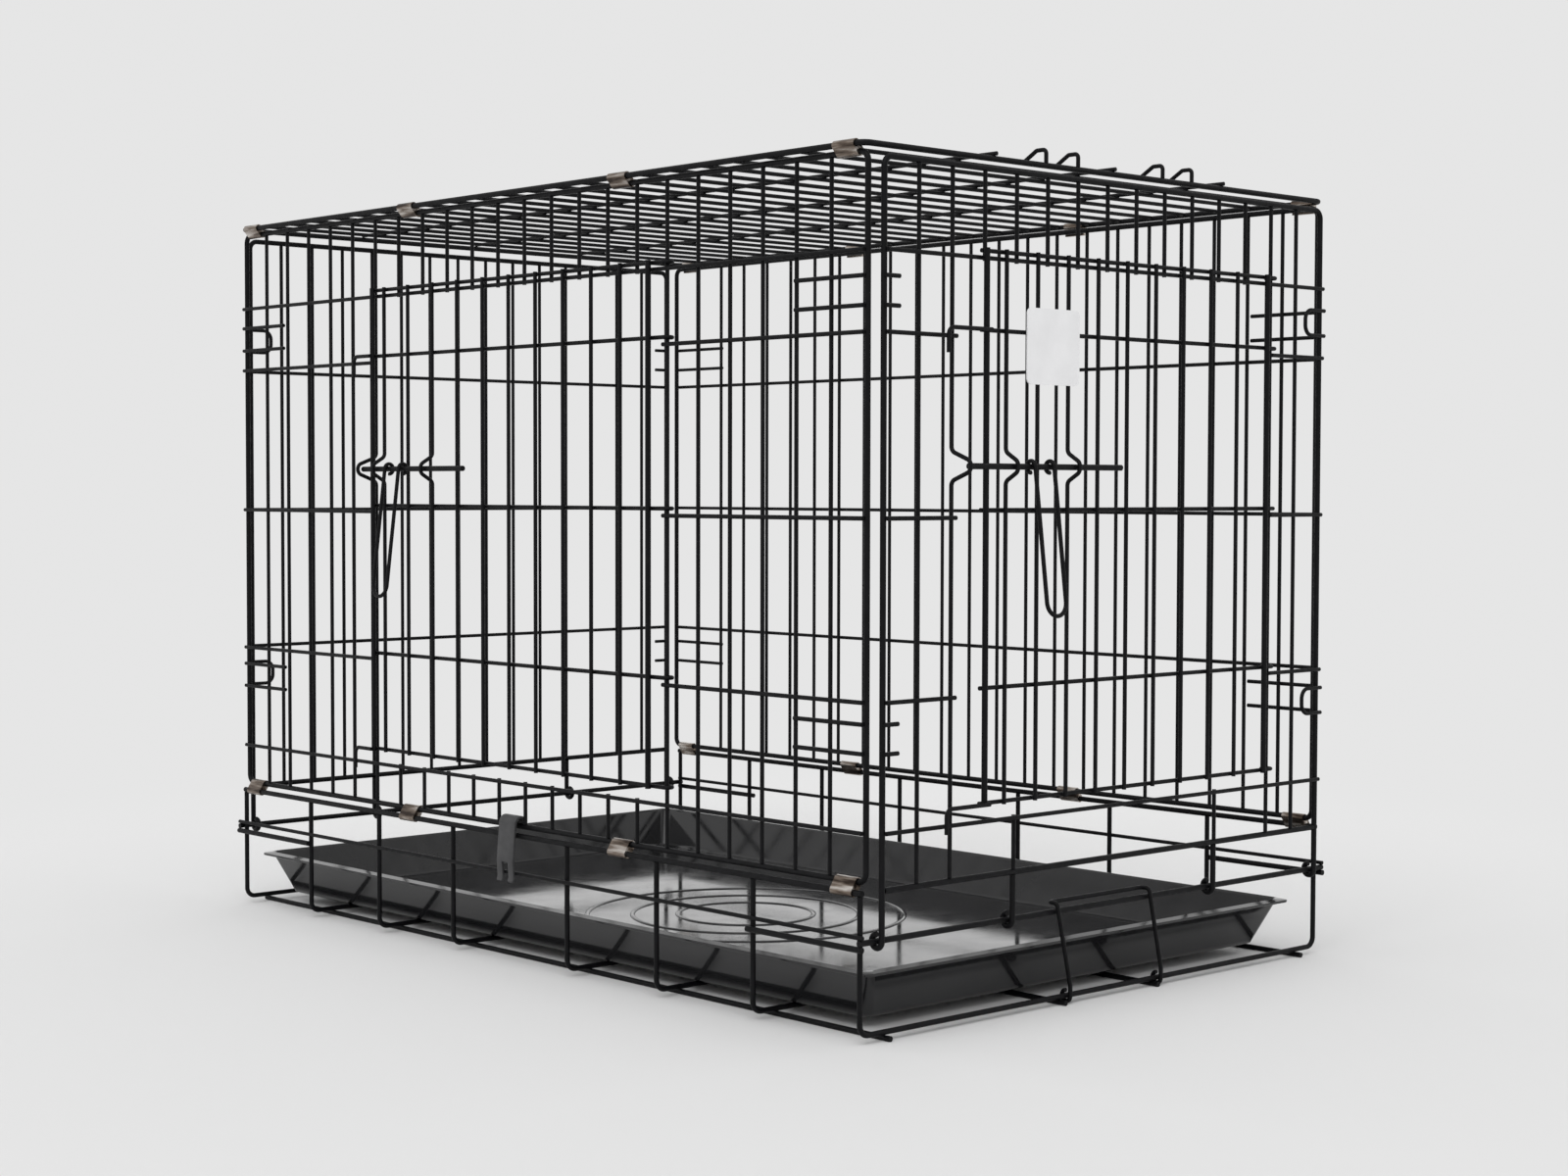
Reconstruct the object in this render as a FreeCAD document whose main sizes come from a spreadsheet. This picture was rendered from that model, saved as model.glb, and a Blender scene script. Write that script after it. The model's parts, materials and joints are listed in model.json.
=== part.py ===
import FreeCAD, Part
import os
import re
from math import atan2, cos, degrees, radians, sin, tan
from FreeCAD import Placement, Rotation, Vector

doc = FreeCAD.newDocument("FoldingCrate")
sheet = doc.addObject("Spreadsheet::Sheet", "Sheet")

sizes = {
    # wire gauges
    "barGauge": 3.6, "hoopGauge": 4.6, "frameGauge": 5.0, "rodGauge": 5.0, "handleGauge": 3.6,
    "stopGauge": 3.8,
    # clearances and weld depth
    "doorGap": 0.5, "latchClear": 0.4, "hingeClear": 0.35, "weld": 0.08, "stopClear": 0.4, "panClear": 0.3,
    # base
    "baseSpread": 5, "hoopInner": 87, "hoopMiddle": 211, "hoopOuter": 334, "hoopBend": 9,
    "baseRailHeight": 119, "runnerInset": 24.8, "runnerNarrow": 61, "runnerTip": 7,
    "pivotDrop": 38, "endClear": 3.8,
    # side panels
    "panelLength": 920, "sidePlane": 293.8, "hingeRise": 8, "topRailHeight": 694.5,
    "frameBend": 8, "railTopDrop": 76, "railHighDrop": 63.5, "railMidRise": 143, "railLowRise": 102,
    "railBottomRise": 39, "barEnd": 2,
    "tabHighDrop": 20, "tabLowDrop": 17, "tabSpace": 23, "tabLength": 78,
    # end panels
    "endInset": 11.3, "endTopDrop": 4, "endLowDrop": 6,
    "loopDepth": 27, "loopBend": 9, "stubLength": 15, "postEnd": 2,
    # doors
    "doorLift": 6, "doorTopLap": 5.7, "doorBottomGap": 15, "doorHeel": 15.4,
    "frontLead": 7, "frontFirst": 19, "endLead": 31.2, "endFirst": 24,
    "hookDrop": 20, "frontHookReach": 26, "endHookReach": 48, "hookBend": 6,
    # bolts
    "boltRise": 41, "boltThrow": 16, "frontBolt": 165, "endBolt": 186, "tipClear": 0.6,
    "kinkRise": 12, "kinkFlat": 4, "kinkBend": 5.5, "handleSpread": 23, "handleDrop": 122, "handleLean": 7,
    # top panel
    "topRise": 6, "topSpread": 5, "topWireSpread": 148, "topTip": 2,
    "hookArm": 26, "hookRise": 9, "hookSpread": 40, "hookFront": -86, "hookBack": 65, "hookCrown": 3.5,
    # clips
    "clipWidth": 24, "clipWall": 0.8, "clipInset": 20, "clipMiddle": 160, "snapDrop": 10, "snapGap": 1.6,
    # pan
    "panEndGap": 5.7, "panSideGap": 15.3, "panHeight": 43, "panFlare": 15, "panWall": 2.4, "panRim": 7,
    "panPlace": -7.5,
    "ringInner": 70, "ringMiddle": 115, "ringOuter": 160, "ringWidth": 5, "ringRise": 1.2,
    # pan stop
    "stopSpread": 60, "stopPlace": 7, "stopLean": 24, "stopRise": 8, "stopReach": 3,
    "stopBend": 3.2, "stopShank": 9,
    # carry handle
    "strapWidth": 24, "strapThick": 3, "strapWall": 2.1, "strapDrop": 52, "strapSlot": 9, "strapFork": 24,
    "strapPlace": 6, "strapClear": 0.6,
    # tag
    "tagWidth": 64, "tagHeight": 62, "tagThick": 1.2, "tagPlace": -98, "tagDrop": 36, "tagCorner": 5,
}
for row, (name, value) in enumerate(sizes.items(), 1):
    sheet.set(f"A{row}", name)
    sheet.set(f"B{row}", str(value))
    sheet.setAlias(f"B{row}", name)
doc.recompute()

# bays between the bars, beside each door opening, and from an end panel's post to its leg
sideBays, openingBays, endBays, endOpening, legBay = 23, 6, 15, 2, 4
# degrees that the end of a wire goes round the wire it turns on
eyeTurn = 265


class Sizes:
    pass


s = Sizes()
for name in sizes:
    setattr(s, name, float(sheet.get(name)))

# sizes that follow others, each as shares of the sizes it is set from
fits = {
    "pivotReach": (("panelLength", 0.5), ("endClear", 1), ("hingeClear", -1)),
    "baseLength": (("pivotReach", 2), ("frameGauge", -1), ("hoopGauge", -1), ("weld", 2)),
    "baseHalf": (("sidePlane", 1), ("frameGauge", -0.5), ("baseSpread", 1)),
    "runnerWide": (("sidePlane", 1), ("runnerInset", -1)),
    "hingeHeight": (("baseRailHeight", 1), ("hingeRise", 1)),
    "pivotHeight": (("baseRailHeight", 1), ("pivotDrop", -1)),
    "railTop": (("topRailHeight", 1), ("railTopDrop", -1)),
    "railHigh": (("railTop", 1), ("railHighDrop", -1)),
    "railBottom": (("hingeHeight", 1), ("railBottomRise", 1)),
    "railLow": (("railBottom", 1), ("railLowRise", 1)),
    "railMid": (("railLow", 1), ("railMidRise", 1)),
    "tabHigh": (("railTop", 1), ("tabHighDrop", -1)),
    "tabLow": (("railLow", 1), ("tabLowDrop", -1)),
    "endHalfWidth": (("sidePlane", 1), ("endInset", -1)),
    "endTopHeight": (("topRailHeight", 1), ("endTopDrop", -1)),
    "endLowHeight": (("hingeHeight", 1), ("endLowDrop", -1)),
    "doorTop": (("railTop", 1), ("doorTopLap", 1)),
    "doorBottom": (("railBottom", 1), ("doorBottomGap", 1)),
    "boltHeight": (("railMid", 1), ("boltRise", 1)),
    "clipCorner": (("panelLength", 0.5), ("clipInset", -1)),
    "panLength": (("panelLength", 1), ("panEndGap", -2)),
    "panWidth": (("sidePlane", 2), ("panSideGap", -2)),
    "tagBottom": (("railHigh", 1), ("tagDrop", -1)),
}
texts = {name: f"Sheet.{name}" for name in sizes}
for name, terms in fits.items():
    setattr(s, name, sum(getattr(s, base) * share for base, share in terms))
    texts[name] = "(" + " + ".join(f"{texts[base]} * {share}" for base, share in terms) + ")"

barR, frameR, rodR = s.barGauge / 2, s.frameGauge / 2, s.rodGauge / 2
hoopR, handleR, stopR = s.hoopGauge / 2, s.handleGauge / 2, s.stopGauge / 2
turns = {"x": Rotation(Vector(0, 1, 0), 90), "y": Rotation(Vector(1, 0, 0), -90), "z": Rotation()}
nodes = []


def bind(item, prop, text):
    for name in fits:
        text = re.sub(rf"Sheet\.{name}\b", texts[name], text)
    item.setExpression(prop, text)


def bar(label, axis, at, length, gauge="barGauge"):
    wire = doc.addObject("Part::Cylinder", label)
    wire.Placement = Placement(at, turns[axis])
    bind(wire, "Radius", f"Sheet.{gauge} / 2")
    bind(wire, "Height", length)
    return wire


def eyeRound(centre, point, way):
    # the arcs of an eye, open at one side, that leaves the point along the given way
    arm = point - centre
    turn = arm.cross(way)
    spots = [centre + Rotation(turn, eyeTurn * n / 4).multVec(arm) for n in range(5)]
    return [Part.Arc(*spots[:3]).toShape(), Part.Arc(*spots[2:]).toShape()]


def trace(points, bend, headEye, tailEye):
    # the eyes, straights and bends of a wire's centre line, in order
    runs, here = [], points[0]
    if headEye:
        runs.append(eyeRound(headEye, points[0], points[0] - points[1]))
    for before, corner, after in zip(points, points[1:], points[2:]):
        back, ahead = (before - corner).normalize(), (after - corner).normalize()
        angle = back.getAngle(ahead)
        cut = bend / tan(angle / 2)
        middle = corner + (back + ahead).normalize() * (bend / sin(angle / 2) - bend)
        start, end = corner + back * cut, corner + ahead * cut
        runs.append([Part.makeLine(here, start)])
        runs.append([Part.Arc(start, middle, end).toShape()])
        here = end
    runs.append([Part.makeLine(here, points[-1])])
    if tailEye:
        runs.append(eyeRound(tailEye, points[-1], points[-1] - points[-2]))
    return runs


def swept(label, edges, gauge):
    path = doc.addObject("Part::Feature", label + "Path")
    path.Shape = Part.Wire(Part.__sortEdges__(edges))
    edge = path.Shape.OrderedEdges[0]
    turned = edge.Orientation == "Reversed"
    spot = edge.LastParameter if turned else edge.FirstParameter
    section = doc.addObject("Part::Circle", label + "Section")
    section.Placement = Placement(edge.valueAt(spot), Rotation(Vector(0, 0, 1), edge.tangentAt(spot)))
    bind(section, "Radius", f"Sheet.{gauge} / 2")
    wire = doc.addObject("Part::Sweep", label)
    wire.Sections = [section]
    wire.Spine = (path, [f"Edge{n + 1}" for n in range(len(path.Shape.Edges))])
    wire.Solid = True
    return wire


def bent(label, points, bend, gauge="barGauge", headEye=None, tailEye=None):
    # one wire in one piece
    return swept(label, sum(trace(points, bend, headEye, tailEye), []), gauge)


def chain(label, points, bend, gauge="barGauge", headEye=None, tailEye=None):
    # a long wire as its straights, bends and eyes, end to end
    return [swept(f"{label}Run{n}", run, gauge)
            for n, run in enumerate(trace(points, bend, headEye, tailEye))]


def box(label, at, length, width, height, turn=Rotation()):
    block = doc.addObject("Part::Box", label)
    block.Placement = Placement(at, turn)
    bind(block, "Length", length)
    bind(block, "Width", width)
    bind(block, "Height", height)
    return block


def tube(label, at, radius, length):
    drum = doc.addObject("Part::Cylinder", label)
    drum.Placement = Placement(at, turns["x"])
    bind(drum, "Radius", radius)
    bind(drum, "Height", length)
    return drum


def fuse(label, members):
    whole = doc.addObject("Part::MultiFuse", label)
    whole.Shapes = members
    return whole


def cut(label, base, tool):
    rest = doc.addObject("Part::Cut", label)
    rest.Base, rest.Tool = base, tool
    return rest


def node(label, members):
    group = doc.addObject("Part::Compound", label)
    group.Label = label
    group.Links = members
    nodes.append(group)


# places on a panel: along it, outward from the crate's middle, and up
places = {
    "front": ("x", lambda u, n, z: Vector(u, -n, z)),
    "back": ("x", lambda u, n, z: Vector(-u, n, z)),
    "end": ("y", lambda u, n, z: Vector(n, u, z)),
    "rear": ("y", lambda u, n, z: Vector(-n, -u, z)),
}


def along(face, label, u, n, z, length, span, gauge="barGauge"):
    # a wire that runs along the panel from u, of the given length and its expression
    axis, put = places[face]
    a, b = put(u, n, z), put(u + span, n, z)
    start = a if (a.x + a.y) < (b.x + b.y) else b
    return bar(label, axis, start, length, gauge)


def frame(face, label, half, n, low, high):
    put = places[face][1]
    corners = [(0, low), (half, low), (half, high), (-half, high), (-half, low), (0, low)]
    return chain(label, [put(u, n, z) for u, z in corners], s.frameBend, "frameGauge")


def kinked(face, label, u, n, out, low, high):
    put = places[face][1]
    line = [(n, low), (n, s.boltHeight - s.kinkRise), (out, s.boltHeight - s.kinkFlat),
            (out, s.boltHeight + s.kinkFlat), (n, s.boltHeight + s.kinkRise), (n, high)]
    return chain(label, [put(u, depth, z) for depth, z in line], s.kinkBend)


# base: hoops under the panels' ends and along the floor, a rail on each side and a cross-bar at each end
hingeY, sillY = s.sidePlane - frameR, s.baseHalf
hoopZ = s.hoopGauge * 1.5
baseEnd = s.baseLength / 2
pivotX = s.pivotReach
# the end panels stand just past the ends of the side panels and turn on the cross-bars
endPlane = pivotX + frameR + s.frameGauge + s.hingeClear
hoops = []
hoopPlaces = [side * x for x in (baseEnd, s.hoopOuter, s.hoopMiddle, s.hoopInner) for side in (-1, 1)]
for n, x in enumerate(hoopPlaces):
    top = s.baseRailHeight - frameR + s.weld
    line = [Vector(x, y, z) for y, z in ((-sillY, top), (-sillY, hoopZ), (sillY, hoopZ), (sillY, top))]
    hoops += chain(f"hoop{n}", line, s.hoopBend, "hoopGauge")
node("base_hoops", hoops)

rails = []
for n, side in enumerate((-1, 1)):
    at = Vector(-baseEnd - hoopR, side * sillY, s.baseRailHeight)
    rails.append(bar(f"baseRail{n}", "x", at, "Sheet.baseLength + Sheet.hoopGauge", "frameGauge"))
    at = Vector(-pivotX - frameR, side * (sillY + hoopR + barR), s.pivotHeight + frameR + barR)
    rails.append(bar(f"baseMid{n}", "x", at, "2 * Sheet.pivotReach + Sheet.frameGauge"))
node("base_rails", rails)

runners = []
for n, y in enumerate((-s.runnerWide, -s.runnerNarrow, s.runnerNarrow, s.runnerWide)):
    at = Vector(-baseEnd - s.runnerTip, y, hoopR)
    runners.append(bar(f"runner{n}", "x", at, "Sheet.baseLength + 2 * Sheet.runnerTip", "hoopGauge"))
node("base_runners", runners)

pivots = []
for n, x in enumerate((-pivotX, pivotX)):
    at = Vector(x, -sillY - hoopR - s.barGauge, s.pivotHeight)
    wide = "2 * (Sheet.baseHalf + Sheet.barGauge) + Sheet.hoopGauge"
    pivots.append(bar(f"crossBar{n}", "y", at, wide, "frameGauge"))
brackets = []
for n, (x, side) in enumerate(((-1, -1), (-1, 1), (1, -1), (1, 1))):
    start = -pivotX - frameR if x < 0 else s.hoopOuter - hoopR
    at = Vector(start, side * (sillY + hoopR + frameR), s.pivotHeight - s.frameGauge)
    reach = "Sheet.pivotReach - Sheet.hoopOuter + (Sheet.frameGauge + Sheet.hoopGauge) / 2"
    brackets.append(bar(f"bracket{n}", "x", at, reach, "frameGauge"))
node("base_pivots", pivots)
node("base_brackets", brackets)


def clip(label, x, own, other, gap):
    # a folded plate round two rails, tight on its own and running on the other
    (y0, z0), (y1, z1) = own, other
    wall = "Sheet.frameGauge / 2 + Sheet.hingeClear + Sheet.clipWall"
    size = frameR + s.hingeClear + s.clipWall
    start = x - s.clipWidth / 2
    lean = Rotation(Vector(1, 0, 0), degrees(atan2(z1 - z0, y1 - y0)) - 90)
    corner = Vector(start, y0, z0) + lean.multVec(Vector(0, -size, 0))
    bridge = box(label + "Web", corner, "Sheet.clipWidth", f"2 * ({wall})", gap, lean)
    first, second = Vector(start, y0, z0), Vector(start, y1, z1)
    body = fuse(label + "Body", [tube(label + "Own", first, wall, "Sheet.clipWidth"),
                                 tube(label + "Other", second, wall, "Sheet.clipWidth"), bridge])
    loose = "Sheet.frameGauge / 2 + Sheet.hingeClear"
    holes = fuse(label + "Holes", [tube(label + "Seat", first, "Sheet.frameGauge / 2", "Sheet.clipWidth"),
                                   tube(label + "Bore", second, loose, "Sheet.clipWidth")])
    return cut(label, body, holes)


clipPlaces = (-s.clipCorner, -s.clipMiddle, s.clipMiddle, s.clipCorner)
for label, side in (("base_clips_front", -1), ("base_clips_back", 1)):
    node(label, [clip(f"{label}{n}", x, (side * sillY, s.baseRailHeight), (side * hingeY, s.hingeHeight),
                      "sqrt(Sheet.baseSpread ^ 2 + Sheet.hingeRise ^ 2)") for n, x in enumerate(clipPlaces)])

# layers of a panel and of a door on it, outward from the plane that its bars and rails share
def layers(plane):
    skin = plane + s.barGauge + s.doorGap
    reach = skin + s.barGauge + s.latchClear + s.handleGauge + s.latchClear + rodR
    return {
        "frame": plane - frameR, "bar": plane - barR, "rail": plane + barR,
        "doorRail": skin - barR, "doorBar": skin + barR, "doorFrame": skin + frameR,
        "hook": skin + s.frameGauge + barR, "rod": reach, "kink": reach + rodR + s.latchClear + barR,
        "tag": skin + s.barGauge,
    }


sideLayer, endLayer = layers(s.sidePlane), layers(endPlane)
sidePitch, endPitch = s.panelLength / sideBays, 2 * s.endHalfWidth / endBays
rise = "Sheet.topRailHeight - Sheet.hingeHeight - Sheet.frameGauge + 2 * Sheet.weld"
half = s.panelLength / 2
openLeft = -half + openingBays * sidePitch
openRight = -openLeft
low, high = s.hingeHeight + frameR - s.weld, s.topRailHeight - frameR + s.weld
tabs = [z - n * s.tabSpace for z in (s.tabHigh, s.tabLow) for n in (0, 1)]


def sidePanel(face, door):
    put, depth = places[face][1], sideLayer
    node(f"{face}_frame", frame(face, f"{face}Frame", half, depth["frame"], s.hingeHeight, s.topRailHeight))
    bars = []
    for n in range(1, sideBays):
        u = -half + n * sidePitch
        if door and n == openingBays:
            bars += kinked(face, f"{face}Keeper", u, depth["bar"], depth["kink"], low, high)
        elif door and openingBays < n < sideBays - openingBays:
            bars.append(bar(f"{face}Foot{n}", "z", put(u, depth["bar"], low),
                            "Sheet.railBottom - Sheet.hingeHeight - Sheet.frameGauge / 2"
                            " + Sheet.weld + Sheet.barEnd"))
            bars.append(bar(f"{face}Head{n}", "z", put(u, depth["bar"], s.railTop - s.barEnd),
                            "Sheet.topRailHeight - Sheet.railTop - Sheet.frameGauge / 2"
                            " + Sheet.weld + Sheet.barEnd"))
        else:
            bars.append(bar(f"{face}Bar{n}", "z", put(u, depth["bar"], low), rise))
    node(f"{face}_bars", bars)
    wires = []
    for n, z in enumerate((s.railTop, s.railHigh, s.railMid, s.railLow, s.railBottom)):
        if door and 0 < n < 4:
            part = f"{openingBays} * Sheet.panelLength / {sideBays} + Sheet.barEnd"
            span = openingBays * sidePitch + s.barEnd
            wires.append(along(face, f"{face}Rail{n}a", -half, depth["rail"], z, part, span))
            wires.append(along(face, f"{face}Rail{n}b", half - span, depth["rail"], z, part, span))
        elif door or 0 < n < 4:
            wires.append(along(face, f"{face}Rail{n}", -half, depth["rail"], z, "Sheet.panelLength",
                               2 * half))
    node(f"{face}_rails", wires)
    keep = []
    for n, z in enumerate(tabs):
        for end, u in (("a", -half), ("b", half - s.tabLength)):
            keep.append(along(face, f"{face}Tab{n}{end}", u, depth["rail"], z, "Sheet.tabLength",
                              s.tabLength))
    node(f"{face}_tabs", keep)


def door(face, depth, keeper, hinge, pitch):
    axis, put = places[face]
    words = ("Lead", "First", "HookReach", "Bolt")
    lead, first, reach, boltLength = (getattr(s, face + word) for word in words)
    left, right = keeper + lead, hinge - s.doorHeel
    tall = "Sheet.doorTop - Sheet.doorBottom + 2 * Sheet.barEnd"
    foot = s.doorBottom - s.barEnd
    sides = [bar(f"{face}DoorSide{n}", "z", put(u, depth["doorFrame"], foot), tall, "frameGauge")
             for n, u in enumerate((left, right))]
    levels = [s.doorTop, s.railHigh + s.doorLift, s.railMid + s.doorLift, s.railLow + s.doorLift,
              s.doorBottom]
    wires = []
    for n, z in enumerate(levels):
        line = [put(left - s.barEnd, depth["doorRail"], z), put(hinge, depth["doorRail"], z)]
        wires += chain(f"{face}DoorRail{n}", line, s.hookBend, tailEye=put(hinge, depth["bar"], z))
    node(f"{face}_door_frame", sides)
    node(f"{face}_door_rails", wires)
    bars, u, n = [], left + first, 0
    while u < right - pitch / 2:
        if n in (0, 2):
            bars += kinked(face, f"{face}DoorKink{n}", u, depth["doorBar"], depth["kink"], foot,
                           s.doorTop + s.barEnd)
        else:
            bars.append(bar(f"{face}DoorBar{n}", "z", put(u, depth["doorBar"], foot), tall))
        u, n = u + pitch, n + 1
    node(f"{face}_door_bars", bars)
    hooks = []
    for n, z in enumerate((levels[1], levels[4])):
        line = [(left + s.barEnd, z), (left - reach, z), (left - reach, z - s.hookDrop)]
        hooks.append(bent(f"{face}DoorHook{n}", [put(u, depth["hook"], z) for u, z in line], s.hookBend))
    node(f"{face}_door_hooks", hooks)
    tip = keeper + barR + s.tipClear
    node(f"{face}_bolt_rod", [along(face, f"{face}Rod", tip, depth["rod"], s.boltHeight,
                                    f"Sheet.{face}Bolt", boltLength, "rodGauge")])
    out = rodR + s.latchClear + handleR
    lean = radians(s.handleLean)
    near = left + first + barR + s.latchClear + s.boltThrow + handleR + s.tipClear
    far = near + s.handleSpread
    # the handle hangs on the rod and leans out from the door
    line = [put(u, depth["rod"] + out * cos(lean) + drop * sin(lean),
                s.boltHeight + out * sin(lean) - drop * cos(lean))
            for u, drop in ((near, 0), (near, s.handleDrop), (far, s.handleDrop), (far, 0))]
    grip = bent(f"{face}Grip", line, s.handleSpread / 2 - s.weld, "handleGauge",
                put(near, depth["rod"], s.boltHeight), put(far, depth["rod"], s.boltHeight))
    node(f"{face}_bolt_handle", [grip])


sidePanel("front", True)
door("front", sideLayer, openLeft, openRight, sidePitch)
sidePanel("back", False)


def endPanel(face, door):
    put, depth, wide = places[face][1], endLayer, s.endHalfWidth
    line = [(-wide, s.pivotHeight), (-wide, s.endTopHeight), (wide, s.endTopHeight), (wide, s.pivotHeight)]
    posts = chain(f"{face}Posts", [put(u, depth["frame"], z) for u, z in line], s.frameBend, "frameGauge",
                 put(-wide, pivotX, s.pivotHeight), put(wide, pivotX, s.pivotHeight))
    sill = along(face, f"{face}Sill", -wide + frameR - s.weld, depth["frame"], s.endLowHeight,
                 "2 * Sheet.endHalfWidth - Sheet.frameGauge + 2 * Sheet.weld", 2 * (wide - frameR + s.weld),
                 "frameGauge")
    node(f"{face}_frame", posts + [sill])
    low, high = s.endLowHeight + frameR - s.weld, s.endTopHeight - frameR + s.weld
    rise = "Sheet.endTopHeight - Sheet.endLowHeight - Sheet.frameGauge + 2 * Sheet.weld"
    bars = []
    last = endBays
    for n in range(1, last):
        u = -wide + n * endPitch
        if door and n == endOpening:
            bars += kinked(face, f"{face}Keeper", u, depth["bar"], depth["kink"], low, high)
        elif door and endOpening < n < last - endOpening:
            if n in (legBay, last - legBay):
                bars.append(bar(f"{face}Foot{n}", "z", put(u, depth["bar"], low),
                                "Sheet.railBottom - Sheet.endLowHeight - Sheet.frameGauge / 2"
                                " + Sheet.weld + Sheet.barEnd"))
            bars.append(bar(f"{face}Head{n}", "z", put(u, depth["bar"], s.railTop - s.barEnd),
                            "Sheet.endTopHeight - Sheet.railTop - Sheet.frameGauge / 2"
                            " + Sheet.weld + Sheet.barEnd"))
        else:
            bars.append(bar(f"{face}Bar{n}", "z", put(u, depth["bar"], low), rise))
    node(f"{face}_bars", bars)
    wires = []
    for n, z in enumerate((s.railTop, s.railHigh, s.railMid, s.railLow, s.railBottom)):
        if door and 0 < n < 4:
            part = f"{endOpening} * 2 * Sheet.endHalfWidth / {endBays} + Sheet.barEnd"
            span = endOpening * endPitch + s.barEnd
            wires.append(along(face, f"{face}Rail{n}a", -wide, depth["rail"], z, part, span))
            wires.append(along(face, f"{face}Rail{n}b", wide - span, depth["rail"], z, part, span))
        elif door or 0 < n < 4:
            wires.append(along(face, f"{face}Rail{n}", -wide, depth["rail"], z, "2 * Sheet.endHalfWidth",
                               2 * wide))
    node(f"{face}_rails", wires)
    legs = []
    for n, u in enumerate((-wide + legBay * endPitch, wide - legBay * endPitch)):
        line = [put(u, depth["frame"], z) for z in (s.pivotHeight, s.endLowHeight - frameR + s.weld)]
        legs += chain(f"{face}Leg{n}", line, s.frameBend, "frameGauge", put(u, pivotX, s.pivotHeight))
    node(f"{face}_eyelets", legs)
    locks = []
    for n, z in enumerate((s.tabHigh, s.tabLow)):
        line = [(wide + s.postEnd, z), (wide - s.loopDepth, z), (wide - s.loopDepth, z - s.tabSpace),
                (wide + s.postEnd, z - s.tabSpace)]
        locks += chain(f"{face}Loop{n}", [put(u, depth["rail"], z) for u, z in line], s.loopBend)
    for n, z in enumerate(tabs):
        locks.append(along(face, f"{face}Stub{n}", -wide - s.postEnd, depth["rail"], z, "Sheet.stubLength",
                           s.stubLength))
    node(f"{face}_loops", locks)


endPanel("end", True)
endEdge = s.endHalfWidth - endOpening * endPitch
door("end", endLayer, -endEdge, endEdge, endPitch)
plate = box("tagPlate", Vector(endLayer["tag"], s.tagPlace - s.tagWidth / 2, s.tagBottom),
            "Sheet.tagThick", "Sheet.tagWidth", "Sheet.tagHeight")
doc.recompute()
rounded = doc.addObject("Part::Fillet", "tagRounded")
rounded.Base = plate
rounded.Edges = [(n + 1, s.tagCorner, s.tagCorner) for n, edge in enumerate(plate.Shape.Edges)
                 if abs(edge.Vertexes[0].X - edge.Vertexes[1].X) > s.tagThick / 2]
node("tag", [rounded])
endPanel("rear", False)

# top panel, hinged on its front rail
topY, topZ = hingeY + s.topSpread, s.topRailHeight + s.topRise
corners = [(0, -topY), (half, -topY), (half, topY), (-half, topY), (-half, -topY), (0, -topY)]
node("top_frame", chain("topFrame", [Vector(x, y, topZ) for x, y in corners], s.frameBend, "frameGauge"))
across = "2 * (Sheet.sidePlane - Sheet.frameGauge + Sheet.topSpread + Sheet.weld)"
edge, crown = frameR - topY - s.weld, topZ + frameR - barR
node("top_bars", [bar(f"topBar{n}", "y", Vector(-half + n * sidePitch, edge, crown), across)
                  for n in range(1, sideBays)])
lie = topZ + frameR + barR
node("top_rails", [bar(f"topRail{n}", "x", Vector(-half - s.topTip, n * s.topWireSpread, lie),
                       "Sheet.panelLength + 2 * Sheet.topTip") for n in (-1, 0, 1)])
hooks = []
for n, y in enumerate((s.hookFront, s.hookFront + s.hookSpread, s.hookBack, s.hookBack + s.hookSpread)):
    line = [Vector(half - s.hookArm, y, lie), Vector(half - s.hookCrown * 3, y, lie + s.hookRise),
            Vector(half, y, lie + s.hookRise), Vector(half, y, topZ + frameR - s.weld)]
    hooks.append(bent(f"topHook{n}", line, s.hookCrown))
node("top_hooks", hooks)
apart = "sqrt(Sheet.topRise ^ 2 + Sheet.topSpread ^ 2)"
node("front_clips", [clip(f"frontClip{n}", x, (-hingeY, s.topRailHeight), (-topY, topZ), apart)
                     for n, x in enumerate(clipPlaces)])
snaps = []
grip = "Sheet.frameGauge / 2 + Sheet.hingeClear + Sheet.clipWall"
for n, x in enumerate(clipPlaces):
    start = x - s.clipWidth / 2
    inner = s.sidePlane + s.snapGap
    body = fuse(f"snapBody{n}", [
        tube(f"snapRoll{n}", Vector(start, topY, topZ), grip, "Sheet.clipWidth"),
        box(f"snapSkirt{n}", Vector(start, inner, topZ - s.snapDrop), "Sheet.clipWidth",
            "Sheet.topSpread + Sheet.hingeClear + Sheet.clipWall - Sheet.snapGap", "Sheet.snapDrop")])
    seat = tube(f"snapSeat{n}", Vector(start, topY, topZ), "Sheet.frameGauge / 2", "Sheet.clipWidth")
    snaps.append(cut(f"snap{n}", body, seat))
node("top_snaps", snaps)

# pan: a flared tray with a rim that stands on the hoops, and rings raised in its floor
panZ = hoopZ + hoopR + s.panClear


def flared(label, at, inset):
    shape = doc.addObject("Part::Wedge", label)
    shape.Placement = Placement(at, Rotation(Vector(1, 0, 0), 90))
    for axis, size in (("X", "Sheet.panLength"), ("Z", "Sheet.panWidth")):
        top = f"({size} / 2 - Sheet.panRim - {inset})"
        bind(shape, axis + "min", f"Sheet.panFlare - {top}")
        bind(shape, axis + "max", f"{top} - Sheet.panFlare")
        bind(shape, axis + "2min", f"-{top}")
        bind(shape, axis + "2max", top)
    bind(shape, "Ymin", "0")
    bind(shape, "Ymax", "Sheet.panHeight")
    return shape


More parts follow.
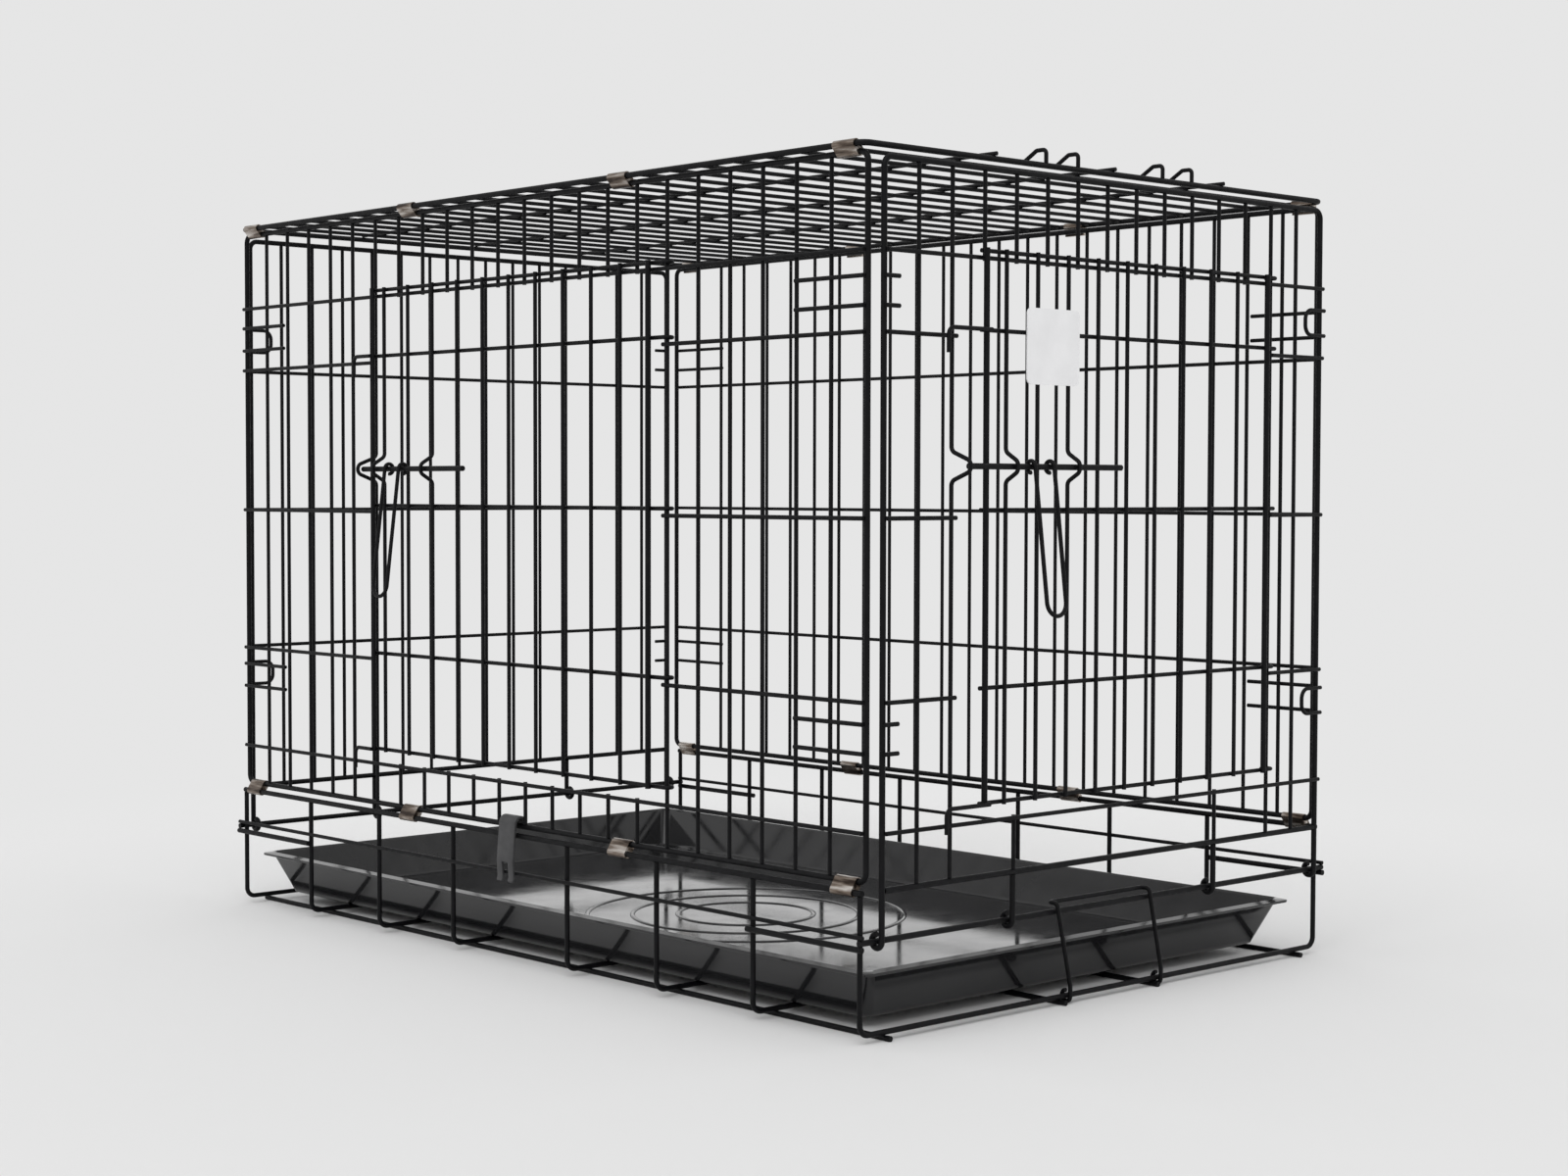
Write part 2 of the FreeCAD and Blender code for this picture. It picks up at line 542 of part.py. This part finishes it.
outer = flared("panOuter", Vector(s.panPlace, 0, panZ), "0")
inner = flared("panInner", Vector(s.panPlace, 0, panZ + s.panWall), "Sheet.panWall")
corner = Vector(s.panPlace - s.panLength / 2, -s.panWidth / 2, panZ + s.panHeight - s.panWall)
rim = box("panRimPlate", corner, "Sheet.panLength", "Sheet.panWidth", "Sheet.panWall")
shell = cut("panShell", fuse("panBlock", [outer, rim]), inner)
ribs = []
for name in ("Inner", "Middle", "Outer"):
    radius, parts = f"Sheet.ring{name}", []
    for kind, size in (("Out", radius), ("In", f"{radius} - Sheet.ringWidth")):
        disc = doc.addObject("Part::Cylinder", f"ring{name}{kind}")
        disc.Placement = Placement(Vector(s.panPlace, 0, panZ + s.panWall - s.weld), Rotation())
        bind(disc, "Radius", size)
        bind(disc, "Height", "Sheet.ringRise + Sheet.weld")
        parts.append(disc)
    ribs.append(cut(f"ring{name}", *parts))
node("pan", [fuse("panWhole", [shell] + ribs)])

# pan stop: one wire that turns on the end hoop, leans to one side and goes over the cross-bar
eyeMean = hoopR + s.stopClear + stopR
foot = baseEnd + eyeMean
crest = s.pivotHeight + s.stopRise
outside = pivotX + frameR + stopR + s.stopClear * 3
inside = pivotX - s.stopReach
nearFoot, farFoot = s.stopPlace - s.stopSpread, s.stopPlace + s.stopSpread
legLine = [(foot, hoopZ, 0), (foot, hoopZ + s.stopShank, 0), (outside, crest, s.stopLean),
           (inside, crest, s.stopLean)]
line = [Vector(x, nearFoot - lean, z) for x, z, lean in legLine]
line += [Vector(x, farFoot - lean, z) for x, z, lean in reversed(legLine)]
node("pan_stop", [bent("stopBow", line, s.stopBend, "stopGauge", Vector(baseEnd, nearFoot, hoopZ),
                       Vector(baseEnd, farFoot, hoopZ))])

# carry handle: a plastic strap that turns on the front panel's lower rail
start = s.strapPlace - s.strapWidth / 2
skin = sillY + hoopR + s.barGauge + s.strapClear
face, drop = -skin - s.strapThick, s.hingeHeight - s.strapDrop
knuckle = tube("strapKnuckle", Vector(start, -hingeY, s.hingeHeight),
               "Sheet.frameGauge / 2 + Sheet.latchClear + Sheet.strapWall", "Sheet.strapWidth")
neck = box("strapNeck", Vector(start, face, s.hingeHeight - frameR), "Sheet.strapWidth",
           "Sheet.baseSpread + Sheet.hoopGauge / 2 + Sheet.barGauge + Sheet.strapClear + Sheet.strapThick",
           "Sheet.frameGauge")
tongue = box("strapTongue", Vector(start, face, drop), "Sheet.strapWidth", "Sheet.strapThick",
             "Sheet.strapDrop + Sheet.frameGauge / 2")
bore = tube("strapBore", Vector(start, -hingeY, s.hingeHeight), "Sheet.frameGauge / 2 + Sheet.latchClear",
            "Sheet.strapWidth")
fork = box("strapFork", Vector(s.strapPlace - s.strapSlot / 2, face, drop), "Sheet.strapSlot",
           "Sheet.strapThick", "Sheet.strapFork")
strap = cut("strap", fuse("strapBlock", [knuckle, neck, tongue]), fuse("strapGaps", [bore, fork]))
node("carry_handle", [strap])

doc.recompute()
for item in doc.Objects:
    if any(word in item.State for word in ("Invalid", "Error")):
        raise SystemExit(f"{item.Label} failed: {item.State}")
for item in nodes:
    if item.Shape.isNull() or not item.Shape.isValid() or not item.Shape.Solids:
        raise SystemExit(f"{item.Label} has no valid shape")
os.makedirs("parts", exist_ok=True)
for item in nodes:
    item.Shape.exportStep(f"parts/{item.Label}.step")
    room = item.Shape.BoundBox
    spans = [round(v, 1) for v in (room.XLength, room.YLength, room.ZLength)]
    print(item.Label, len(item.Shape.Solids), spans)
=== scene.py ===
import json
import math

import bmesh
import bpy
from mathutils import Matrix, Vector


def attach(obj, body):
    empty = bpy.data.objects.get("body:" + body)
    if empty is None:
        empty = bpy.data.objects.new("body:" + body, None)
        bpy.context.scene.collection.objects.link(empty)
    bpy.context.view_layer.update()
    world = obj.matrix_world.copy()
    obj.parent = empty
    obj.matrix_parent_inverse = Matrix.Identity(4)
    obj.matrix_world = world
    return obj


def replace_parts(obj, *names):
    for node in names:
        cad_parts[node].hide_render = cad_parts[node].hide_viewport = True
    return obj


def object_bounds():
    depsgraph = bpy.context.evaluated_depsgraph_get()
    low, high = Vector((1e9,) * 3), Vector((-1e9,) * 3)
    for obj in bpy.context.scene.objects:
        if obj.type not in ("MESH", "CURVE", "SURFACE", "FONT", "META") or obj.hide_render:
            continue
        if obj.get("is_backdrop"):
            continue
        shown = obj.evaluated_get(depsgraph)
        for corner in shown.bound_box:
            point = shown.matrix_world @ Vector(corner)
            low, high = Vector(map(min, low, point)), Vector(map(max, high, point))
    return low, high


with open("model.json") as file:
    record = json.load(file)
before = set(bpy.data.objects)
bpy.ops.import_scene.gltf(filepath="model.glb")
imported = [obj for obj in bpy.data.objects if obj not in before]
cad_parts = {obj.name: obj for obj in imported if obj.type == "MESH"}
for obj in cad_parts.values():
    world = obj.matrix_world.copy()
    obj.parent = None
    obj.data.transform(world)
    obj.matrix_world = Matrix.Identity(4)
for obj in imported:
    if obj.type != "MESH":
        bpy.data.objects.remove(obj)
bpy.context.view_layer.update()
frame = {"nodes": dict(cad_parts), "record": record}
nodes = frame["nodes"]
print("frame loaded", len(nodes))


def material(name):
    made = bpy.data.materials.new(name)
    made.use_nodes = True
    tree = made.node_tree
    return made, tree, tree.nodes["Principled BSDF"]


def noise(tree, scale, detail, stretch=(1, 1, 1)):
    place = tree.nodes.new("ShaderNodeTexCoord")
    mapping = tree.nodes.new("ShaderNodeMapping")
    mapping.inputs["Scale"].default_value = stretch
    texture = tree.nodes.new("ShaderNodeTexNoise")
    texture.inputs["Scale"].default_value = scale
    texture.inputs["Detail"].default_value = detail
    tree.links.new(place.outputs["Object"], mapping.inputs["Vector"])
    tree.links.new(mapping.outputs["Vector"], texture.inputs["Vector"])
    return texture.outputs["Fac"]


def ramp(tree, fac, stops):
    made = tree.nodes.new("ShaderNodeValToRGB")
    elements = made.color_ramp.elements
    while len(elements) < len(stops):
        elements.new(0.5)
    for element, (place, colour) in zip(elements, stops):
        element.position = place
        element.color = (*colour, 1)
    tree.links.new(fac, made.inputs["Fac"])
    return made.outputs["Color"]


def bump(tree, shader, height, strength, distance):
    made = tree.nodes.new("ShaderNodeBump")
    made.inputs["Strength"].default_value = strength
    made.inputs["Distance"].default_value = distance
    tree.links.new(height, made.inputs["Height"])
    tree.links.new(made.outputs["Normal"], shader.inputs["Normal"])


def grey(value):
    return (value, value, value)


def finish(name, look):
    # patches, smudges and grain are each a noise: its scale, its detail and, along a rail, its stretch
    made, tree, shader = material(name)
    shade = ramp(tree, noise(tree, *look["patches"]), look["shade"])
    tree.links.new(shade, shader.inputs["Base Color"])
    stops = [(place, grey(value)) for place, value in look["rough"]]
    rough = ramp(tree, noise(tree, *look["smudges"]), stops)
    tree.links.new(rough, shader.inputs["Roughness"])
    bump(tree, shader, noise(tree, *look["grain"]), look["relief"], look["depth"])
    shader.inputs["Metallic"].default_value = look["metal"]
    shader.inputs["Specular IOR Level"].default_value = look["gloss"]
    return made


# black enamel baked on steel wire: slight orange peel, thin spots that read warmer
enamel = finish("blackEnamel", {
    "patches": (90, 6), "smudges": (240, 3), "grain": (900, 2),
    "shade": [(0.3, (0.002, 0.002, 0.0025)), (0.62, (0.004, 0.004, 0.005)), (0.85, (0.010, 0.009, 0.008))],
    "rough": [(0.3, 0.40), (0.75, 0.58)], "relief": 0.25, "depth": 0.0003, "metal": 0.0, "gloss": 0.14})

# plated sheet, brushed along the rail, gone brown in streaks, and mottled with painted bright reflections and
# dark edges
plated = finish("platedClip", {
    "patches": (170, 3, (0.15, 1, 1)), "smudges": (500, 3, (0.05, 1, 1)), "grain": (700, 2, (0.04, 1, 1)),
    "shade": [(0.36, (0.04, 0.028, 0.022)), (0.5, (0.20, 0.16, 0.13)), (0.66, (0.62, 0.58, 0.54))],
    "rough": [(0.3, 0.22), (0.7, 0.42)], "relief": 0.2, "depth": 0.0002, "metal": 1.0, "gloss": 0.5})

# glossy moulded charcoal plastic, smooth enough to mirror the wires at a low angle
panPlastic = finish("panPlastic", {
    "patches": (9, 5), "smudges": (35, 5), "grain": (700, 2),
    "shade": [(0.3, (0.010, 0.010, 0.011)), (0.7, (0.018, 0.018, 0.019))],
    "rough": [(0.3, 0.06), (0.75, 0.13)], "relief": 0.04, "depth": 0.0002, "metal": 0.0, "gloss": 0.5})

# softer grey plastic of the carry strap
strapPlastic = finish("strapPlastic", {
    "patches": (60, 4), "smudges": (200, 3), "grain": (1200, 2),
    "shade": [(0.3, (0.028, 0.028, 0.030)), (0.7, (0.046, 0.046, 0.048))],
    "rough": [(0.3, 0.42), (0.75, 0.58)], "relief": 0.3, "depth": 0.0003, "metal": 0.0, "gloss": 0.5})

# white card-like plastic, left blank
tagPlastic = finish("tagPlastic", {
    "patches": (40, 4), "smudges": (120, 3), "grain": (800, 2),
    "shade": [(0.3, (0.84, 0.84, 0.85)), (0.7, (0.91, 0.91, 0.92))],
    "rough": [(0.3, 0.35), (0.75, 0.5)], "relief": 0.1, "depth": 0.0002, "metal": 0.0, "gloss": 0.5})

finishes = {"black wire": enamel, "nickel clip": plated, "pan plastic": panPlastic,
            "strap plastic": strapPlastic, "tag plastic": tagPlastic}
slots = {entry["node"]: entry["material_slot"] for entry in frame["record"]["subparts"]}
for name, item in nodes.items():
    item.data.materials.clear()
    item.data.materials.append(finishes[slots[name]])
print("materials set")


def piece(name, mesh, slot, body):
    data = bpy.data.meshes.new(name)
    mesh.to_mesh(data)
    mesh.free()
    data.materials.append(finishes[slot])
    item = bpy.data.objects.new(name, data)
    bpy.context.scene.collection.objects.link(item)
    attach(item, body)
    return item


def grown(mesh, edges, move=(0, 0, 0), scale=(1, 1, 1)):
    # draws the edges out into a new strip of faces, and returns the edges at its far side
    made = bmesh.ops.extrude_edge_only(mesh, edges=edges)["geom"]
    verts = [part for part in made if isinstance(part, bmesh.types.BMVert)]
    bmesh.ops.scale(mesh, vec=scale, verts=verts)
    bmesh.ops.translate(mesh, vec=move, verts=verts)
    return [part for part in made if isinstance(part, bmesh.types.BMEdge)]


def turned(mesh, edges, centre, angle, steps):
    # sweeps the edges round an axis along x, and returns the edges at the far side
    verts = list({vert for edge in edges for vert in edge.verts})
    made = bmesh.ops.spin(mesh, geom=verts + edges, cent=centre, axis=(1, 0, 0), angle=angle, steps=steps)
    return [part for part in made["geom_last"] if isinstance(part, bmesh.types.BMEdge)]


softEdge = {"angle": 50, "segments": 2}


def softened(mesh, offset):
    # rounds the sharp edges and shades the piece smooth
    mesh.normal_update()
    angle = math.radians(softEdge["angle"])
    sharp = [edge for edge in mesh.edges if edge.is_manifold and edge.calc_face_angle() > angle]
    bmesh.ops.bevel(mesh, geom=sharp, offset=offset, segments=softEdge["segments"], profile=0.5,
                    affect="EDGES", material=-1)
    for face in mesh.faces:
        face.smooth = True


# pan: a moulded tray with rounded corners, a sloping rim and rings raised in its floor
pan = {"floor": (0.4299, 0.2541), "wall": (0.4449, 0.2691), "rim": (0.4543, 0.2785), "place": -0.0075,
       "low": 0.0095, "high": 0.0525, "thick": 0.0024, "soft": 0.0007, "droop": 0.0016,
       "corner": 0.008, "cornerSteps": 8, "cove": 0.003, "coveOut": 0.7, "coveUp": 0.3,
       "lip": ((0, 0.002), (0.0008, 0.0006), (0.0024, 0)),  # out from the wall, and down from the top
       "flat": 0.003,  # larger faces are shaded flat
       "rings": (0.0675, 0.1125, 0.1575), "ringHalf": 0.0025, "ringRise": 0.0012, "ringSides": 10,
       "ringSteps": 72}
mesh = bmesh.new()
bmesh.ops.create_grid(mesh, x_segments=1, y_segments=1, size=1)
floorX, floorY = (size - pan["cove"] for size in pan["floor"])
floorZ, topZ = pan["low"] + pan["thick"], pan["high"]
wallX, wallY = pan["wall"]
bmesh.ops.scale(mesh, vec=(floorX, floorY, 1), verts=mesh.verts)
bmesh.ops.bevel(mesh, geom=mesh.verts[:], offset=pan["corner"], segments=pan["cornerSteps"], profile=0.5,
                affect="VERTICES", material=-1)
bmesh.ops.translate(mesh, vec=(0, 0, floorZ), verts=mesh.verts)
coveOut, coveUp = pan["cove"] * pan["coveOut"], pan["cove"] * pan["coveUp"]
steps = [(floorX + coveOut, floorY + coveOut, floorZ + coveUp), (*pan["floor"], floorZ + pan["cove"])]
steps += [(wallX + out, wallY + out, topZ - down) for out, down in pan["lip"]]
steps.append((*pan["rim"], topZ - pan["droop"]))
edges, nowX, nowY, nowZ = mesh.edges[:], floorX, floorY, floorZ
for nextX, nextY, nextZ in steps:
    edges = grown(mesh, edges, (0, 0, nextZ - nowZ), (nextX / nowX, nextY / nowY, 1))
    nowX, nowY, nowZ = nextX, nextY, nextZ
bmesh.ops.recalc_face_normals(mesh, faces=mesh.faces)
bmesh.ops.solidify(mesh, geom=mesh.faces[:], thickness=pan["thick"])
softened(mesh, pan["soft"])
upright = Matrix.Rotation(math.pi / 2, 3, "X")
for radius in pan["rings"]:
    made = bmesh.ops.create_circle(mesh, segments=pan["ringSides"], radius=1)["verts"]
    bmesh.ops.scale(mesh, vec=(pan["ringHalf"], pan["ringRise"], 1), verts=made)
    bmesh.ops.rotate(mesh, cent=(0, 0, 0), matrix=upright, verts=made)
    bmesh.ops.translate(mesh, vec=(radius, 0, floorZ), verts=made)
    loop = list({edge for vert in made for edge in vert.link_edges})
    bmesh.ops.spin(mesh, geom=made + loop, cent=(0, 0, 0), axis=(0, 0, 1), angle=2 * math.pi,
                   steps=pan["ringSteps"], use_merge=True)
bmesh.ops.translate(mesh, vec=(pan["place"], 0, 0), verts=mesh.verts)
bmesh.ops.recalc_face_normals(mesh, faces=mesh.faces)
for face in mesh.faces:
    face.smooth = face.calc_area() < pan["flat"]
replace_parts(piece("panTray", mesh, "pan plastic", "pan"), "pan")
print("pan made")

# carry strap: wraps under the panel's lower rail, humps over it, hangs before the base and ends in two prongs
strap = {"middle": 0.006, "half": 0.012, "slot": 0.0045, "rail": (-0.2913, 0.127), "eye": 0.0029,
         "eyeSteps": 6, "front": -0.3028, "rise": 0.003, "humpSteps": 12, "tongue": 0.035, "tongueSteps": 3,
         "bow": 0.0009, "prong": 0.013, "tip": 0.006, "tipTurn": 40, "tipSteps": 3, "thick": 0.0028,
         "soft": 0.0006}
mesh = bmesh.new()
railY, railZ = strap["rail"]
row = [mesh.verts.new((strap["middle"] + x, railY, railZ - strap["eye"]))
       for x in (-strap["half"], -strap["slot"], strap["slot"], strap["half"])]
edges = [mesh.edges.new(pair) for pair in zip(row, row[1:])]
edges = turned(mesh, edges, (0, railY, railZ), math.pi / 2, strap["eyeSteps"])
edges = grown(mesh, edges, (0, 0, strap["rise"]))
humpY = (railY + strap["eye"] + strap["front"]) / 2
edges = turned(mesh, edges, (0, humpY, railZ + strap["rise"]), math.pi, strap["humpSteps"])
for step in range(strap["tongueSteps"]):
    edges = grown(mesh, edges, (0, -strap["bow"], -strap["tongue"] / strap["tongueSteps"]))
for edge in edges:
    middle = sum(vert.co.x for vert in edge.verts) / 2
    if abs(middle - strap["middle"]) > strap["slot"]:  # the edges beside the slot go on as prongs
        tip = grown(mesh, [edge], (0, strap["bow"], -strap["prong"]))
        low = tip[0].verts[0].co
        turn = -math.radians(strap["tipTurn"])
        turned(mesh, tip, (0, low.y - strap["tip"], low.z), turn, strap["tipSteps"])
bmesh.ops.recalc_face_normals(mesh, faces=mesh.faces)
bmesh.ops.solidify(mesh, geom=mesh.faces[:], thickness=strap["thick"])
bmesh.ops.recalc_face_normals(mesh, faces=mesh.faces)
softened(mesh, strap["soft"])
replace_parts(piece("carryStrap", mesh, "strap plastic", "carry_handle"), "carry_handle")
print("strap made")

# resistance welds: a small pressed bead where two wires cross
bead = {"radius": 0.0021, "pressed": 0.0011}
railHeights = (0.6185, 0.555, 0.411, 0.268, 0.166)  # the first and last edge a doorway
doorRails = (0.6242, 0.561, 0.417, 0.274, 0.181)
side = {"plane": 0.2938, "end": 0.46, "bays": 23, "opening": (6, 17), "feet": range(7, 17),
        "skin": 0.2979, "firstBar": -0.194, "bars": 10}
end = {"plane": 0.4713, "end": 0.2825, "bays": 15, "opening": (2, 13), "feet": (4, 11),
       "skin": 0.4754, "firstBar": -0.15197, "bars": 9}
top = {"plane": 0.703, "wires": (-0.148, 0, 0.148)}


def welds(name, body, spots, across):
    mesh = bmesh.new()
    squeeze = [bead["radius"]] * 3
    squeeze["xyz".index(across)] = bead["pressed"]
    for spot in spots:
        made = bmesh.ops.create_icosphere(mesh, subdivisions=1, radius=1.0)
        place = Matrix.Translation(spot) @ Matrix.Diagonal((*squeeze, 1))
        bmesh.ops.transform(mesh, matrix=place, verts=made["verts"])
    for face in mesh.faces:
        face.smooth = True
    piece(name, mesh, "black wire", body)


def pitchOf(panel):
    return 2 * panel["end"] / panel["bays"]


def crossings(panel, door):
    # where bars and rails cross, along the panel and up
    spots = []
    first, last = panel["opening"]
    for n in range(1, panel["bays"]):
        rails = railHeights if door else railHeights[1:-1]
        if door and first < n < last:
            rails = (railHeights[0], railHeights[-1]) if n in panel["feet"] else railHeights[:1]
        spots += [(n * pitchOf(panel) - panel["end"], z) for z in rails]
    return spots


def doorCrossings(panel):
    return [(panel["firstBar"] + pitchOf(panel) * n, z) for n in range(panel["bars"]) for z in doorRails]


welds("frontWelds", "front_panel", [(u, -side["plane"], z) for u, z in crossings(side, True)], "y")
welds("backWelds", "back_panel", [(u, side["plane"], z) for u, z in crossings(side, False)], "y")
welds("endWelds", "end_panel", [(end["plane"], u, z) for u, z in crossings(end, True)], "x")
welds("rearWelds", "rear_panel", [(-end["plane"], u, z) for u, z in crossings(end, False)], "x")
welds("topWelds", "top_panel", [(pitchOf(side) * n - side["end"], y, top["plane"])
                                for n in range(1, side["bays"]) for y in top["wires"]], "z")
welds("frontDoorWelds", "front_door", [(u, -side["skin"], z) for u, z in doorCrossings(side)], "y")
welds("endDoorWelds", "end_door", [(end["skin"], u, z) for u, z in doorCrossings(end)], "x")
print("welds made")

# stage: a pale floor that runs into the backdrop, soft light and the photo's camera
stage = {"tone": 0.79, "rough": 0.9, "gloss": 0.1, "reach": 30, "fadeFrom": 0.8, "fadeTo": 1.5}
mesh = bmesh.new()
bmesh.ops.create_grid(mesh, x_segments=1, y_segments=1, size=stage["reach"])
data = bpy.data.meshes.new("paleFloor")
mesh.to_mesh(data)
mesh.free()
floor = bpy.data.objects.new("paleFloor", data)
bpy.context.scene.collection.objects.link(floor)
paper, tree, shader = material("palePaper")
tone = (*grey(stage["tone"]), 1)
shader.inputs["Base Color"].default_value = tone
shader.inputs["Roughness"].default_value = stage["rough"]
shader.inputs["Specular IOR Level"].default_value = stage["gloss"]
glow = tree.nodes.new("ShaderNodeEmission")
glow.inputs["Color"].default_value = tone
place = tree.nodes.new("ShaderNodeTexCoord")
distance = tree.nodes.new("ShaderNodeVectorMath")
distance.operation = "LENGTH"
tree.links.new(place.outputs["Object"], distance.inputs[0])
fade = tree.nodes.new("ShaderNodeMapRange")
fade.interpolation_type = "SMOOTHSTEP"
fade.inputs["From Min"].default_value = stage["fadeFrom"]
fade.inputs["From Max"].default_value = stage["fadeTo"]
tree.links.new(distance.outputs["Value"], fade.inputs["Value"])
rays = tree.nodes.new("ShaderNodeLightPath")
seen = rays.outputs["Is Camera Ray"]
for kind in ("Is Glossy Ray", "Is Transmission Ray"):
    most = tree.nodes.new("ShaderNodeMath")
    most.operation = "MAXIMUM"
    tree.links.new(seen, most.inputs[0])
    tree.links.new(rays.outputs[kind], most.inputs[1])
    seen = most.outputs["Value"]
share = tree.nodes.new("ShaderNodeMath")
share.operation = "MULTIPLY"
tree.links.new(fade.outputs["Result"], share.inputs[0])
tree.links.new(seen, share.inputs[1])
blend = tree.nodes.new("ShaderNodeMixShader")
tree.links.new(share.outputs["Value"], blend.inputs["Fac"])
tree.links.new(shader.outputs["BSDF"], blend.inputs[1])
tree.links.new(glow.outputs["Emission"], blend.inputs[2])
tree.links.new(blend.outputs["Shader"], tree.nodes["Material Output"].inputs["Surface"])
data.materials.append(paper)
floor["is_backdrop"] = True

world = bpy.data.worlds.new("studio")
bpy.context.scene.world = world
world.use_nodes = True
back = world.node_tree.nodes["Background"]
back.inputs["Color"].default_value = tone
back.inputs["Strength"].default_value = 1.0


def lampAt(name, kind, spot, power):
    # a lamp that points at the origin
    light = bpy.data.lights.new(name, kind)
    light.energy = power
    lamp = bpy.data.objects.new(name, light)
    lamp.location = spot
    lamp.rotation_euler = (-Vector(spot)).to_track_quat("-Z", "Y").to_euler()
    bpy.context.scene.collection.objects.link(lamp)
    return lamp


key = {"from": (1.0, -2.2, 3.4), "strength": 0.85, "spread": 50}
lamp = lampAt("keyLight", "SUN", key["from"], key["strength"])
lamp.data.angle = math.radians(key["spread"])

# softbox low behind the crate, which the glossy pan mirrors
softbox = {"from": (-2.6, 2.33, 0.95), "size": (4.5, 1.6), "power": 8}
lamp = lampAt("backSoftbox", "AREA", softbox["from"], softbox["power"])
lamp.data.shape = "RECTANGLE"
lamp.data.size, lamp.data.size_y = softbox["size"]
lamp.visible_camera = False

shot = {"from": (1.8609, -1.6644, 0.4333), "at": (0.039, 0.008, 0.337), "roll": 0.12, "lens": 58.12,
        "sensor": 36, "reach": 100}
view = bpy.data.cameras.new("photoCamera")
view.sensor_fit = "HORIZONTAL"
view.sensor_width = shot["sensor"]
view.lens = shot["lens"]
view.clip_end = shot["reach"]
camera = bpy.data.objects.new("photoCamera", view)
spot, target = Vector(shot["from"]), Vector(shot["at"])
turn = (target - spot).to_track_quat("-Z", "Y").to_matrix().to_4x4()
camera.matrix_world = Matrix.Translation(spot) @ turn @ Matrix.Rotation(math.radians(shot["roll"]), 4, "Z")
bpy.context.scene.collection.objects.link(camera)
bpy.context.scene.camera = camera
bpy.context.scene.view_settings.view_transform = "Standard"
print("stage set")

bpy.context.view_layer.update()
low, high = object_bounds()
